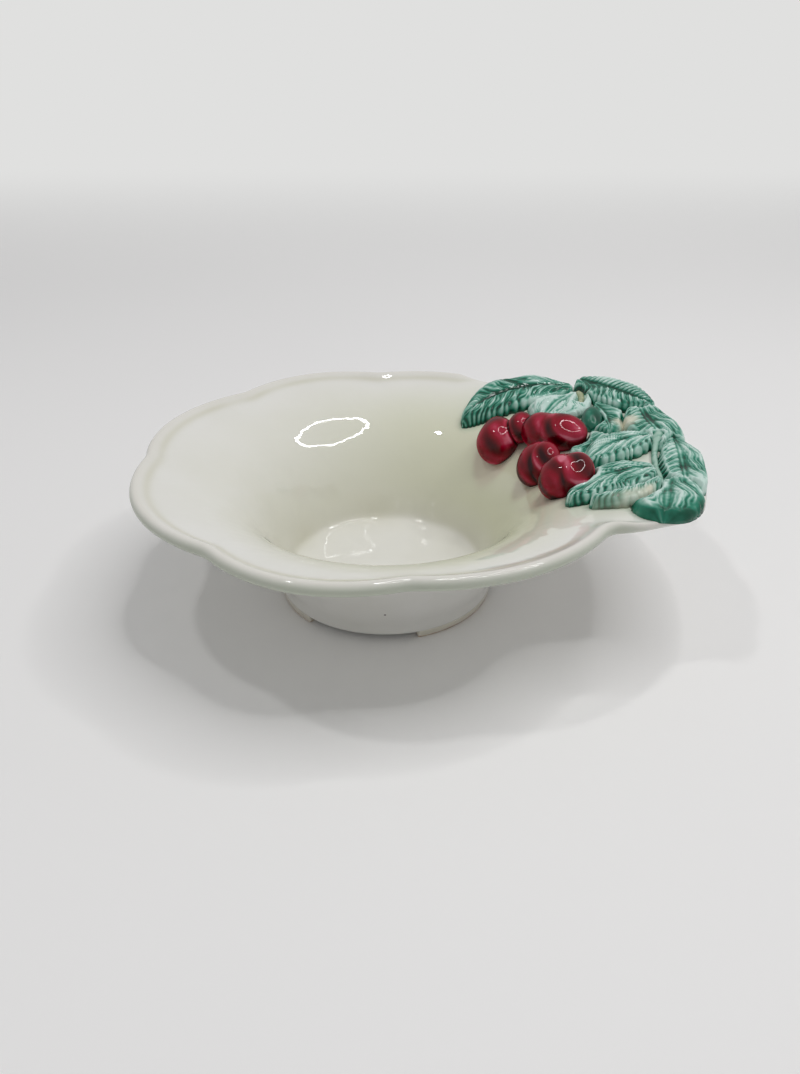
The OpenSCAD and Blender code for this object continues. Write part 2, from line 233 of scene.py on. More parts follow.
# Leaves, from the lowest up
# Plan: angle and reach of the stalk and of the tip, half width and bend as shares of the length,
# and the power that sets how full the leaf is. Height: crest and lift as shares of LEAF_CREST, the
# depth of the folds, and the veins of the left and the right half as count across the leaf, count
# along it and thickness. Last the teeth on both edges, how deeply they are combed, and how pale the
# glaze is.
LEAVES = {
    "leaf_between_cherries": dict(
        stalk=(12.4, 0.7), tip=(6.5, 0.43), half=0.29, bend=0, full=0.8,
        crest=0.6, lift=0, fold=0.8, veins=((3, 5, 0.2), (3, 5, 0.2)),
        teeth=(8, 8), combed=(0.3, 0.3), pale=0.62,
    ),
    "leaf_beside_bud": dict(
        stalk=(29, 0.78), tip=(11.5, 0.66), half=0.3, bend=0.06, full=0.8,
        crest=0.75, lift=0, fold=1.0, veins=((6, 3, 0.2), (9, 2, 0.25)),
        teeth=(12, 12), combed=(0.3, 0.5), pale=0.46,
    ),
    "leaf_outer_back": dict(
        stalk=(23.5, 0.975), tip=(-0.5, 0.915), half=0.215, bend=-0.05, full=0.8,
        crest=0.9, lift=0.1, fold=1.1, veins=((3, 5, 0.2), (15, 1.8, 0.2)),
        teeth=(16, 15), combed=(0.15, 0.9), pale=0.52,
    ),
    "leaf_outer_front": dict(
        stalk=(4.5, 0.93), tip=(-22, 0.92), half=0.175, bend=0.02, full=0.8,
        crest=0.9, lift=0, fold=1.0, veins=((3, 5, 0.2), (15, 1.8, 0.2)),
        teeth=(16, 15), combed=(0.15, 0.7), pale=0.6,
    ),
    "leaf_front_edge": dict(
        stalk=(-14.2, 0.83), tip=(-30, 1.01), half=0.42, bend=0, full=0.4,
        crest=1, lift=0, fold=1.3, veins=((1, 4, 0.22), (1, 4, 0.22)),
        teeth=(9, 9), combed=(0.1, 0.1), pale=0.56,
    ),
    "leaf_front_small": dict(
        stalk=(-14.6, 0.79), tip=(-28.3, 0.6), half=0.32, bend=0, full=0.8,
        crest=1, lift=0, fold=1.1, veins=((5, 4, 0.2), (4, 4, 0.2)),
        teeth=(12, 12), combed=(0.9, 0.2), pale=0.54,
    ),
    "leaf_middle": dict(
        stalk=(6, 0.84), tip=(-3.9, 0.47), half=0.31, bend=-0.08, full=0.8,
        crest=1, lift=0, fold=1.0, veins=((4, 6, 0.2), (4, 7, 0.2)),
        teeth=(11, 11), combed=(0.8, 0.1), pale=0.6,
    ),
    "leaf_front_inner": dict(
        stalk=(-10.2, 0.79), tip=(-25.7, 0.44), half=0.33, bend=-0.1, full=0.8,
        crest=1, lift=0, fold=1.0, veins=((4, 6, 0.2), (4, 7, 0.2)),
        teeth=(15, 12), combed=(1, 0.1), pale=0.56,
    ),
    "leaf_back_rim": dict(
        stalk=(40.5, 0.99), tip=(19.8, 1.01), half=0.25, bend=0, full=0.6,
        crest=1, lift=0.3, fold=1.3, veins=((19, 1.5, 0.24), (10, 3, 0.2)),
        teeth=(19, 15), combed=(0.6, 0.5), pale=0.4,
    ),
    "leaf_over_cherries": dict(
        stalk=(37, 0.86), tip=(31, 0.47), half=0.46, bend=0, full=0.8,
        crest=0.85, lift=0, fold=1.1, veins=((1, 6, 0.2), (1, 6, 0.2)),
        teeth=(10, 10), combed=(0.2, 0.2), pale=0.84,
    ),
    "leaf_back_left": dict(
        stalk=(37.8, 0.87), tip=(58.9, 0.43), half=0.235, bend=-0.11, full=0.8,
        crest=1, lift=-0.25, fold=1.1, veins=((8, 3, 0.16), (7, 3, 0.16)),
        teeth=(19, 11), combed=(0.9, 0.1), pale=0.36,
    ),
}
# A lobe of a fruit: angle and reach of its middle, turn and tilt of its long axis, then its half
# length, radius and lift as shares of a cherry's own
Lobe = namedtuple("Lobe", "angle reach turn tilt half radius lift")
# Sharp says how sharp the crease between a cherry's lobes is, cleft how deep it is drawn in, and
# flat how flat the top is pressed
CHERRIES = {
    "cherry_back_left": dict(
        lobes=(
            Lobe(37, 0.255, 75, 40, 1.22, 0.98, 1),
            Lobe(31.2, 0.34, 75, 45, 0.8, 0.66, 1.3),
        ),
        seed=11, sharp=0.7, cleft=0.9, flat=0.3,
    ),
    "cherry_back_right": dict(
        lobes=(
            Lobe(24, 0.39, -29, 12, 0.95, 0.86, 1),
            Lobe(16.3, 0.46, -29, 8, 1.05, 0.88, 1),
        ),
        seed=12, sharp=0.3, cleft=0.15, flat=1.0,
    ),
    "cherry_front_left": dict(
        lobes=(
            Lobe(8, 0.26, 63, 50, 1.05, 0.8, 1.1),
            Lobe(4.9, 0.3, 63, 50, 0.95, 0.72, 1.15),
        ),
        seed=13, sharp=0.6, cleft=0.5, flat=0.3,
    ),
    "cherry_front_right": dict(
        lobes=(
            Lobe(-11.5, 0.345, 60, 38, 1.05, 0.86, 1.2),
            Lobe(-12.2, 0.42, 60, 38, 0.95, 0.78, 1.15),
        ),
        seed=14, sharp=0.5, cleft=0.3, flat=0.6,
    ),
}
CHERRY_LOBES = [lobe for row in CHERRIES.values() for lobe in row["lobes"]]
# What the outermost leaves gain on the side where they lap the handle's edge
OUTERMOST = {"leaf_outer_back": 1.5, "leaf_outer_front": 1.5, "leaf_front_edge": 1.0}
# Middle and half widths of the patch beside the bud that the green glaze has missed
BARE = (102.8, 27.2, 5.2, 4.6)
BUD = Lobe(20.8, 0.655, 80, 20, 0.85, 0.5, 0.45)
# Twigs: angle and reach of each end, and the bend as a share of the length
TWIGS = {
    "twig_back": dict(start=(37.2, 0.87), end=(31.3, 0.73), bend=0.1),
    "twig_front": dict(start=(6.6, 0.87), end=(-14.3, 0.81), bend=-0.05),
}


class Leaf:
    """Plan of one leaf: a bent axis from its stalk to its tip, and its width along that."""

    def __init__(self, row):
        self.root, self.tip = place(*row["stalk"]), place(*row["tip"])
        self.half, self.bend, self.full = row["half"], row["bend"], row["full"]
        self.length = float(np.linalg.norm(self.tip - self.root))
        self.along = (self.tip - self.root) / self.length
        self.side = np.array([-self.along[1], self.along[0]])

    def width(self, u):
        """Half width at a share u of the way from the stalk to the tip."""
        full = np.clip(np.sin(np.pi * np.clip(u, 0, 1) ** WIDEST_POWER), 0, 1) ** self.full
        ends = mix(STALK_SHARE, TIP_SHARE, u)
        return self.half * self.length * mix(ends, 1, full) - GLAZE

    def plan(self, u, t, width):
        """Points in plan, with t from -1 on the right edge to 1 on the left one."""
        s = u + VEIN_LEAN * np.abs(t) * (1 - u) * (u + LEAN_FROM)
        across = t * width + 4 * self.bend * self.length * s * (1 - s)
        return (
            self.root[0] + self.along[0] * s * self.length + self.side[0] * across,
            self.root[1] + self.along[1] * s * self.length + self.side[1] * across,
        )

    def outside(self, x, y):
        """Distance in plan outside the leaf's edge, below 0 inside it."""
        dx, dy = x - self.root[0], y - self.root[1]
        s = (dx * self.along[0] + dy * self.along[1]) / self.length
        across = dx * self.side[0] + dy * self.side[1]
        across = across - 4 * self.bend * self.length * s * (1 - s)
        u = np.clip(s, 0, 1)
        for _ in range(6):
            t = np.clip(np.abs(across) / np.maximum(self.width(u), 0.1), 0, 1.5)
            u = np.clip(s - VEIN_LEAN * t * (1 - u) * (u + LEAN_FROM), -0.5, 1.5)
        width = self.width(np.clip(u, 0, 1))
        return np.maximum.reduce([np.abs(across) - width, -u * self.length, (u - 1) * self.length])


def lobe_outside(lobe, x, y):
    """Distance in plan outside a lobe, below 0 inside it."""
    at = place(lobe.angle, lobe.reach)
    turn, radius = math.radians(lobe.turn), CHERRY_R * lobe.radius
    half = CHERRY_R * mix(lobe.radius, lobe.half, math.cos(math.radians(lobe.tilt)))
    a = (x - at[0]) * math.cos(turn) + (y - at[1]) * math.sin(turn)
    b = (y - at[1]) * math.cos(turn) - (x - at[0]) * math.sin(turn)
    return (np.hypot(a / half, b / radius) - 1) * min(half, radius)


def twig_plan(row, u):
    start, end = place(*row["start"]), place(*row["end"])
    along = end - start
    bow = 4 * row["bend"] * u * (1 - u)
    return start[0] + along[0] * u - along[1] * bow, start[1] + along[1] * u + along[0] * bow


def twig_outside(row, x, y):
    best = np.full(np.shape(x), 99.0)
    for u in np.linspace(0, 1, 13):
        px, py = twig_plan(row, u)
        best = np.minimum(best, np.hypot(x - px, y - py))
    return best - TWIG_D / 2


SHAPED = {name: Leaf(row) for name, row in LEAVES.items()}


def vein_line(phase, thick):
    """Raised lines at whole numbers of the phase: 1 on a line and 0 between two."""
    off = np.abs(phase - np.round(phase))
    return np.exp(-((off / thick) ** 2))


def tooth_shape(phase, sharp):
    """Rounded teeth, 1 on a tooth and 0 in a gap. A high sharp makes them narrow."""
    return np.abs(np.sin(np.pi * phase)) ** sharp


def leaf_piece(name, material):
    """One leaf, made of a sheet that is folded round its edge: half of it is the underside."""
    row, leaf = LEAVES[name], SHAPED[name]
    seed = list(LEAVES).index(name)
    across, along = 56, 190
    mesh, v, u = grid(name + "_glazed", 2 * across, along)
    # The order that puts the points in rows across the leaf, and then u and t closer at the edges
    rows = np.argsort(np.round(u * along) * 1000 + v, kind="stable")
    u = mix(u, (1 - np.cos(np.pi * u)) / 2, 0.7)
    under = v > 0.5 + 1e-6
    t = np.where(under, 3 - 4 * v, 4 * v - 1)
    t = np.sin(t * np.pi / 2) * 0.35 + t * 0.65
    side = np.abs(t)
    run, reach = u * leaf.length, t * leaf.half * leaf.length
    slow = ripple(run, reach, 22, seed)
    quick = ripple(run, reach, 8, seed + 20)

    # Outline, with the teeth
    is_left = t > 0
    teeth = np.where(is_left, *row["teeth"])
    comb = np.where(is_left, *row["combed"]) * (0.75 + 0.25 * slow)
    if name == "leaf_back_left":
        comb = comb * smooth(0.3, 0.5, u)
    # The lower edge of the small front leaf, which the green has mostly missed
    low = float(name == "leaf_front_small") * smooth(0.35, 0.8, t) * smooth(0.1, 0.3, u)
    low = low * mix(1, 0.3, smooth(0.62, 0.85, u))
    comb = comb * (1 - 0.65 * low)
    tooth = tooth_shape(teeth * u + 0.65 * slow + 0.25 * quick, mix(0.6, 2.0, comb))
    notch = TOOTH * (1 - tooth) * np.sin(np.pi * u) * mix(0.35, 1, comb)
    width = leaf.width(u) * (1 + 0.03 * slow) - notch
    if name in OUTERMOST:
        width = width + OUTERMOST[name] * is_left * np.sin(np.pi * u) ** 0.5
    x, y = leaf.plan(u, t, width)
    if name in OUTERMOST:
        inward = np.minimum(1, (HANDLE_R - 0.5) / np.hypot(x, y))
        x, y = x * inward, y * inward

    # Height of the clay, then of the veins and the teeth on it
    groove = np.exp(-((t / 0.16) ** 2))
    midrib = np.exp(-((t / 0.055) ** 2)) * np.sin(np.pi * np.clip(u, 0.02, 0.9)) ** 0.5
    dome = np.sin(np.pi * ((1 - side) * 0.8 + 0.02)) ** DOME_POWER
    groove_depth = 0.04 if name == "leaf_back_left" else 0.15
    crest = dome * (1 - groove_depth * groove) * mix(0.75, 1, np.sin(np.pi * u))
    raised = abs(row["lift"]) * (1 + np.sign(row["lift"]) * t) / 2
    raised = raised * np.sin(np.pi * u**WIDEST_POWER)
    height = LEAF_EDGE + (LEAF_CREST * row["crest"] - LEAF_EDGE) * crest + LEAF_CREST * raised
    n_across, n_along, thick = (np.where(is_left, *pair) for pair in zip(*row["veins"]))
    bow = side - 0.25 * side * side
    phase = n_across * u - n_along * bow * (0.35 + 0.65 * (1 - u)) + 0.3 * slow + 0.07 * quick
    vein = vein_line(phase, thick) * (0.75 + 0.25 * slow)
    fine = vein_line(3.2 * phase + 0.35 * quick, 0.26)
    near_edge = 1 - smooth(2.3, 3.5, (1 - side) * width)
    ribs = mix(0.7 * vein + 0.3 * fine, mix(0.35, tooth, comb), near_edge)
    ends = np.sin(np.pi * np.clip(u, 0.05, 0.95)) ** 0.4
    from_edge = np.minimum.reduce([(1 - side) * width, run, leaf.length - run])
    lip = np.zeros_like(u)
    if name == "leaf_front_edge":
        lip = (1 - smooth(0.9, 4.4, from_edge + 0.7 * quick)) * smooth(0.25, 0.6, u)
    ribs = mix(ribs, 0.4, lip)
    depth = row["fold"] * mix(1, 0.7, near_edge)
    height = height + VEIN_H * (depth * ribs * smooth(0.05, 0.2, side) - 0.35) * ends
    # The back left leaf is folded along its middle and has no raised rib
    if name == "leaf_back_left":
        midrib, groove = -0.4 * midrib, 0.5 * groove
    height = height + 0.6 * np.maximum(midrib, 0)
    height = height + 0.4 * slow * (1 - 0.6 * lip) + 0.12 * quick * (1 - lip)
    # Small unevenness scatters the lights in the glaze
    height = height + 0.05 * ripple(run, reach, 3.2, seed + 40) - 0.08

    # Trimmed under what lies on it, and rounded off all round
    cover = height_left(seed, x, y)
    round_off = np.sqrt(1 - (1 - np.clip(from_edge / 1.5, 0, 1)) ** 2)
    height = height * cover * round_off - SKIRT * (1 - np.minimum(cover, round_off))
    height = np.where(under, -SKIRT, height)
    z = ground(np.hypot(x, y)) + SLIP * round_off + height

    # Thickness of the glaze, which leaves the heights and runs into the hollows
    shape = (along + 1, 2 * across + 1)
    field = height[rows].reshape(shape)[:, : across + 1]
    hollow = np.zeros(shape)
    near = (field - blur(blur(field, 4, 0), 3, 1)) / 0.3
    wide = (field - blur(blur(field, 12, 0), 7, 1)) / 0.8
    hollow[:, : across + 1] = 0.6 * np.clip(near, -1, 1) + 0.5 * np.clip(wide, -1, 1)
    relief = np.zeros_like(u)
    relief[rows] = hollow.ravel()
    gaps = near_edge * comb * (1 - tooth)
    tone = row["pale"] + 0.45 * relief + 0.16 * slow + 0.08 * quick - 0.6 * gaps
    tone = tone + 0.14 * (fine - 0.45) * (1 - near_edge) * smooth(0.08, 0.25, side)
    tone = tone - 0.25 * (1 - round_off) - 0.35 * (1 - cover) - 0.08 * groove + 0.22 * midrib
    tone = np.minimum(tone, mix(1, 0.78, near_edge * comb))
    tone = mix(tone, 0.3 + 0.16 * quick + 0.1 * slow, lip)
    bare = np.exp(-(((x - BARE[0]) / BARE[2]) ** 2 + ((y - BARE[1]) / BARE[3]) ** 2) ** 2)
    bare = np.maximum(bare, low * (0.72 + 0.3 * quick))
    points = np.stack([x, y, z], 1)
    values = {"relief": np.clip(tone, 0, 1), "bare": bare}
    finish_piece(name + "_glazed", mesh, points, values, [name], material)


def dive(outside, over, share):
    """How much of its height a lower leaf keeps beside and under what lies on it."""
    return np.where(
        outside > 0, mix(share, 1, smooth(0, over, outside)), share * smooth(-1, 0, outside)
    )


def height_left(number, x, y):
    """Share of its height that leaf number keeps under the leaves, fruit and twigs over it."""
    over = [dive(leaf.outside(x, y), 2.4, 0.45) for leaf in list(SHAPED.values())[number + 1 :]]
    over += [dive(lobe_outside(lobe, x, y), 1.2, 0.4) for lobe in CHERRY_LOBES]
    over += [dive(lobe_outside(BUD, x, y), 1.2, 0.45)]
    over += [dive(twig_outside(twig, x, y), 1.0, 0.55) for twig in TWIGS.values()]
    return np.minimum.reduce([np.ones(np.shape(x)), *over])


def blur(field, steps, axis):
    """Mean over a window of 2 * steps + 1 points along one axis."""
    pad = [(0, 0), (0, 0)]
    pad[axis] = (steps + 1, steps)
    total = np.cumsum(np.pad(field, pad, mode="edge"), axis=axis)
    size = 2 * steps + 1
    if axis == 0:
        return (total[size:] - total[:-size]) / size
    return (total[:, size:] - total[:, :-size]) / size


# Cherries, bud and twigs
def lobe_frame(lobe):
    """Middle, long axis, half length and radius of a lobe."""
    at = place(lobe.angle, lobe.reach)
    middle = np.array([at[0], at[1], ground(np.hypot(*at)) + CHERRY_LIFT * lobe.lift])
    turn, tilt = math.radians(lobe.turn), math.radians(lobe.tilt)
    axis = np.array(
        [math.cos(tilt) * math.cos(turn), math.cos(tilt) * math.sin(turn), math.sin(tilt)]
    )
    return middle, axis, CHERRY_R * lobe.half, CHERRY_R * lobe.radius


def lobe_reach(lobe, start, ways):
    """How far each way runs from the start to the skin of a lobe."""
    middle, axis, half, radius = lobe_frame(lobe)
    near, far = np.zeros(len(ways)), np.full(len(ways), 40.0)
    for _ in range(26):
        test = (near + far) / 2
        p = start + ways * test[:, None] - middle
        a = p @ axis
        b = np.linalg.norm(p - a[:, None] * axis, axis=1)
        full = radius * (1 - 0.08 * np.clip(a / half, -1, 1))
        inside = (a / half) ** 2 + (b / full) ** 2 < 1
        near, far = np.where(inside, test, near), np.where(inside, far, test)
    return near


def fruit_piece(name, slot, material, lobes, seed, flat, sharp=0.9, cleft=1.0):
    """A smooth lump over one or two lobes, pressed on to the clay."""
    mesh, v, u = grid(name + "_glazed", 220, 130)
    turn, rise = v * TAU, (u - 0.5) * math.pi
    ways = np.stack(
        [np.cos(rise) * np.cos(turn), np.cos(rise) * np.sin(turn), np.sin(rise)], 1
    )
    frames = [lobe_frame(lobe) for lobe in lobes]
    weights = [f[3] for f in frames]
    start = sum(f[0] * w for f, w in zip(frames[::-1], weights)) / sum(weights)
    reach = np.array([lobe_reach(lobe, start, ways) for lobe in lobes])
    joined = np.log(np.exp(sharp * reach).sum(0)) / sharp if len(lobes) > 1 else reach[0]
    apart = np.abs(reach[0] - reach[-1]) if len(lobes) > 1 else 99 + 0 * joined
    crease = np.exp(-((apart / 0.7) ** 2))
    beside = np.exp(-(((apart - 2.2) / 1.3) ** 2))
    most = reach.max(0)
    joined = most + (joined - most) * mix(0.95, 0.55, cleft) - 0.3 * cleft * crease
    points = start + ways * joined[:, None]
    # The mould leaves the side that faces up and out, towards the ring lamp's mirror direction, a
    # little flat;
    # the pale ring round it is partly thin glaze and partly painted sheen
    facing, press_depth = np.array([0.12, -0.51, 0.85]), 3.2
    high = (points - start) @ facing
    shoulder = high.max() - press_depth
    pressed = shoulder + 2.2 * np.tanh((high - shoulder) / 2.8)
    points = points + facing * (np.where(high > shoulder, pressed - high, 0) * flat)[:, None]
    thin_ridge_and_sheen = np.exp(-(((high - shoulder + 0.2) / 0.9) ** 2)) * min(1, 1.4 * flat)
    uneven = ripple(points[:, 0] + points[:, 2], points[:, 1] - points[:, 2], 10, seed)
    points = points + ways * (0.15 * uneven - 0.1)[:, None]
    floor_z = ground(np.hypot(points[:, 0], points[:, 1])) - SKIRT
    above = points[:, 2] - floor_z
    points[:, 2] = np.maximum(points[:, 2], floor_z)
    foot = 1 - smooth(0.2, 2.6, above)
    # Glaze thinness, with a painted sheen in the pale ring round the pressed top
    thin = 0.36 + 0.14 * flat + 0.3 * uneven - 0.35 * foot
    thin = thin + cleft * (0.35 * beside - 0.5 * crease)
    thin = thin + 0.36 * thin_ridge_and_sheen * np.clip(0.9 + 1.1 * uneven, 0.1, 1.8)
    values = {"thin": np.clip(thin, 0, 1)}
    finish_piece(name + "_glazed", mesh, points, values, [name], material)


def twig_piece(name, row, material):
    """A half-sunk round twig. The front one starts under a leaf, with a knob."""
    mesh, v, u = grid(name + "_glazed", 40, 90)
    at = mix(-0.16, 1, u) if name == "twig_front" else u
    x0, y0 = twig_plan(row, at)
    x1, y1 = twig_plan(row, at + 0.01)
    long = np.hypot(x1 - x0, y1 - y0)
    side_x, side_y = -(y1 - y0) / long, (x1 - x0) / long
    r = TWIG_D / 2 * mix(1, 0.7, u) * np.sqrt(np.clip(1 - (2 * u - 1) ** 12, 0, 1))
    r = r * (1 + 0.07 * ripple(u * 14, u * 3, 5, 4))
    if name == "twig_front":
        r = r * (0.85 + 0.7 * np.exp(-(((u - 0.12) / 0.12) ** 2)))
    a = v * TAU
    x, y = x0 + side_x * r * np.cos(a), y0 + side_y * r * np.cos(a)
    z = ground(np.hypot(x, y)) + SLIP + r * np.maximum(-0.3, 0.7 + np.sin(a)) - 0.3
    values = {
        "relief": np.clip(0.5 + 0.4 * np.sin(a) + 0.15 * ripple(x, y, 4, 9), 0, 1),
        "moss": np.full(len(x), 1.0 if name == "twig_front" else 0.25),
    }
    points = np.stack([x, y, z], 1)
    finish_piece(name + "_glazed", mesh, points, values, [name], material)


# Body of the bowl
def body_piece(material):
    """The shell, turned from a section that changes with the angle."""
    around = 620
    flat_r, wall_from = 36.5, 0.045
    floor_r = np.linspace(0, flat_r, 9)
    corner = np.linspace(0, 1, 10)[1:, None]
    start, end = np.array([flat_r + 0.9, FLOOR_H]), wall_line(wall_from)
    knee = np.array([FLOOR_R + 0.1, FLOOR_H])
    fillet = (1 - corner) ** 2 * start + 2 * (1 - corner) * corner * knee + corner**2 * end
    wall_t = mix(wall_from, 1, 1 - (1 - np.linspace(0, 1, 46)[1:]) ** 1.5)
    bead_part = np.linspace(0, 1, 26)
    back_t = 1 - np.linspace(0, 1, 42) ** 1.2
    base = np.array([(BASE_R, h) for h in (6, 5.2, 4.5, 3.9, 3.4)])
    base = np.concatenate([base, [(BASE_R - 0.15, FOOT_H + 0.25), (BASE_R - 0.5, FOOT_H)]])
    under_r = np.concatenate([[BASE_R - 1.2, BASE_R - 2.2], np.linspace(BASE_R - 4, 0, 8)])
    crease_at = len(floor_r) + len(fillet) + len(wall_t)

    def section(angle):
        """Radius and height of the shell's skin at an angle, from the well round to the base."""
        fade = float(handle_share(np.array(angle)))
        bead = mix(BEAD_R, HANDLE_EDGE / 2, fade)
        bead_at = float(rim_at(np.array(angle))) - bead
        bead_z = mix(FLANGE_H, float(ground(bead_at)) - bead, fade)
        begin = mix(170, 90, fade)
        crease = bead_at + bead * math.cos(math.radians(begin)) - SLIP

        def spread(r):
            """The flange is stretched or shortened to reach the bead."""
            return r + (crease - FLANGE_R) * smooth(0.75 * FLANGE_R, FLANGE_R, r)

        inner = wall_line(wall_t)
        inner_r = spread(inner[:, 0])
        round_bead = np.radians(mix(begin, -80, bead_part))
        taper = fade * smooth(0.75, 1, wall_line(back_t)[:, 0] / FLANGE_R)
        slope = wall_slope(back_t)
        out = np.stack([slope[:, 1], -slope[:, 0]], 1) / np.linalg.norm(slope, axis=1)[:, None]
        back_r = spread(wall_line(back_t)[:, 0])
        back = np.stack([back_r, ground(back_r)], 1) + out * mix(WALL, HANDLE_EDGE, taper)[:, None]
        line = np.concatenate(
            [
                np.stack([floor_r, np.full(len(floor_r), FLOOR_H)], 1),
                fillet,
                np.stack([inner_r, ground(inner_r)], 1),
                np.stack(
                    [bead_at + bead * np.cos(round_bead), bead_z + bead * np.sin(round_bead)], 1
                ),
                back,
                base,
                np.stack([under_r, np.full(len(under_r), FOOT_H)], 1),
            ]
        )
        # Glaze fills the crease inside the bead, and softens the whole section a little
        from_crease = np.arange(len(line)) - crease_at + 1
        fill = 0.5 * np.exp(-((from_crease / 7) ** 2)) * (1 - fade)
        for _ in range(60):
            line[1:-1] += fill[1:-1, None] * (0.5 * (line[:-2] + line[2:]) - line[1:-1])
        for _ in range(2):
            line[1:-1] = 0.25 * line[:-2] + 0.5 * line[1:-1] + 0.25 * line[2:]
        line[0, 0] = line[-1, 0] = 0
        return line

    lines = np.array([section(360 * i / around) for i in range(around)])
    count = lines.shape[1]
    mesh, v, s = grid("glazed_bowl", around, count - 1)
    # Each point's place round the bowl and along the section
    i = np.round(v * around).astype(int) % around
    k = np.round(s * (count - 1)).astype(int)
    r, z = lines[i, k, 0], lines[i, k, 1]
    a = i * TAU / around
    x, y = r * np.cos(a), r * np.sin(a)
    # Where the glaze gathers, thins or has bled
    inside = (k < crease_at).astype(float)
    fade = handle_share(np.degrees(a))
    past = k - crease_at
    pool = np.exp(-(((past + 0.5) / 3.0) ** 2)) * (1 - fade)
    pool = np.maximum(pool, np.exp(-(((k - 14) / 6.0) ** 2)))
    green = np.minimum.reduce([leaf.outside(x, y) for leaf in SHAPED.values()])
    red = np.minimum.reduce([lobe_outside(lobe, x, y) for lobe in CHERRY_LOBES])
    crest = np.exp(-(((past - 9) / 6.0) ** 2))
    # Down the bead's outer side: partly glaze run and partly painted shade under the bead
    run = smooth(9, 17, past) * (1 - smooth(26, 44, past)) * (1 - fade)
    values = {
        "pool": pool * mix(0.75, 1.25, 0.5 + 0.5 * ripple(x, y, 30, 2)),
        "green": inside * np.clip(1 - green / 2.2, 0, 1) ** 1.5,
        "red": inside * np.clip(1 - red / 2.4, 0, 1) ** 1.5,
        "crest": crest,
        "run": run,
        # The well tint is partly the glaze's own tone and partly painted shade: full on the right
        # wall, a fifth as strong on the left
        "well": smooth(10, 24, k) * smooth(crease_at, 34, k) * mix(0.2, 1, smooth(-70, 50, x)),
    }
    points = np.stack([x, y, z], 1)
    finish_piece("glazed_bowl", mesh, points, values, ["bowl_body"], material)


def foot_piece(material):
    """The pads of the foot ring, each spun from its section and softened at its edges."""
    inner_r, top = FOOT_R - FOOT_W, FOOT_H + 0.3
    corners = [(inner_r, 0), (FOOT_R, 0), (FOOT_R, top), (inner_r, top)]
    bm = bmesh.new()
    for index in range(PAD_COUNT):
        first = math.radians(PAD_START + 360 / PAD_COUNT * index)
        part = bmesh.new()
        verts = [
            part.verts.new((r * MM * math.cos(first), r * MM * math.sin(first), z * MM))
            for r, z in corners
        ]
        face = part.faces.new(verts)
        bmesh.ops.spin(
            part,
            geom=[face],
            cent=(0, 0, 0),
            axis=(0, 0, 1),
            angle=math.radians(PAD_ANGLE),
            steps=48,
            use_duplicate=False,
            use_merge=False,
        )
        bmesh.ops.remove_doubles(part, verts=part.verts, dist=1e-6)
        bmesh.ops.recalc_face_normals(part, faces=part.faces)
        sharp = [
            e
            for e in part.edges
            if len(e.link_faces) == 2 and e.calc_face_angle(0) > math.radians(40)
        ]
        bmesh.ops.bevel(
            part,
            geom=sharp,
            offset=0.7 * MM,
            offset_type="OFFSET",
            affect="EDGES",
            segments=3,
            profile=0.5,
            material=-1,
            clamp_overlap=True,
        )
        mesh = bpy.data.meshes.new("pad")
        part.to_mesh(mesh)
        part.free()
        bm.from_mesh(mesh)
        bpy.data.meshes.remove(mesh)
    mesh = bpy.data.meshes.new("foot_ring")
    bm.to_mesh(mesh)
    bm.free()
    mesh.materials.append(material)
    mesh.shade_smooth()
    mesh.set_sharp_from_angle(angle=math.radians(35))
    piece = bpy.data.objects.new("foot_ring", mesh)
    bpy.context.scene.collection.objects.link(piece)
    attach(piece, "root")
    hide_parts("foot_pads")


# Glazes
def srgb(r, g, b):
    def linear(c):
        c = c / 255
        return c / 12.92 if c <= 0.04045 else ((c + 0.055) / 1.055) ** 2.4

    return (linear(r), linear(g), linear(b), 1)


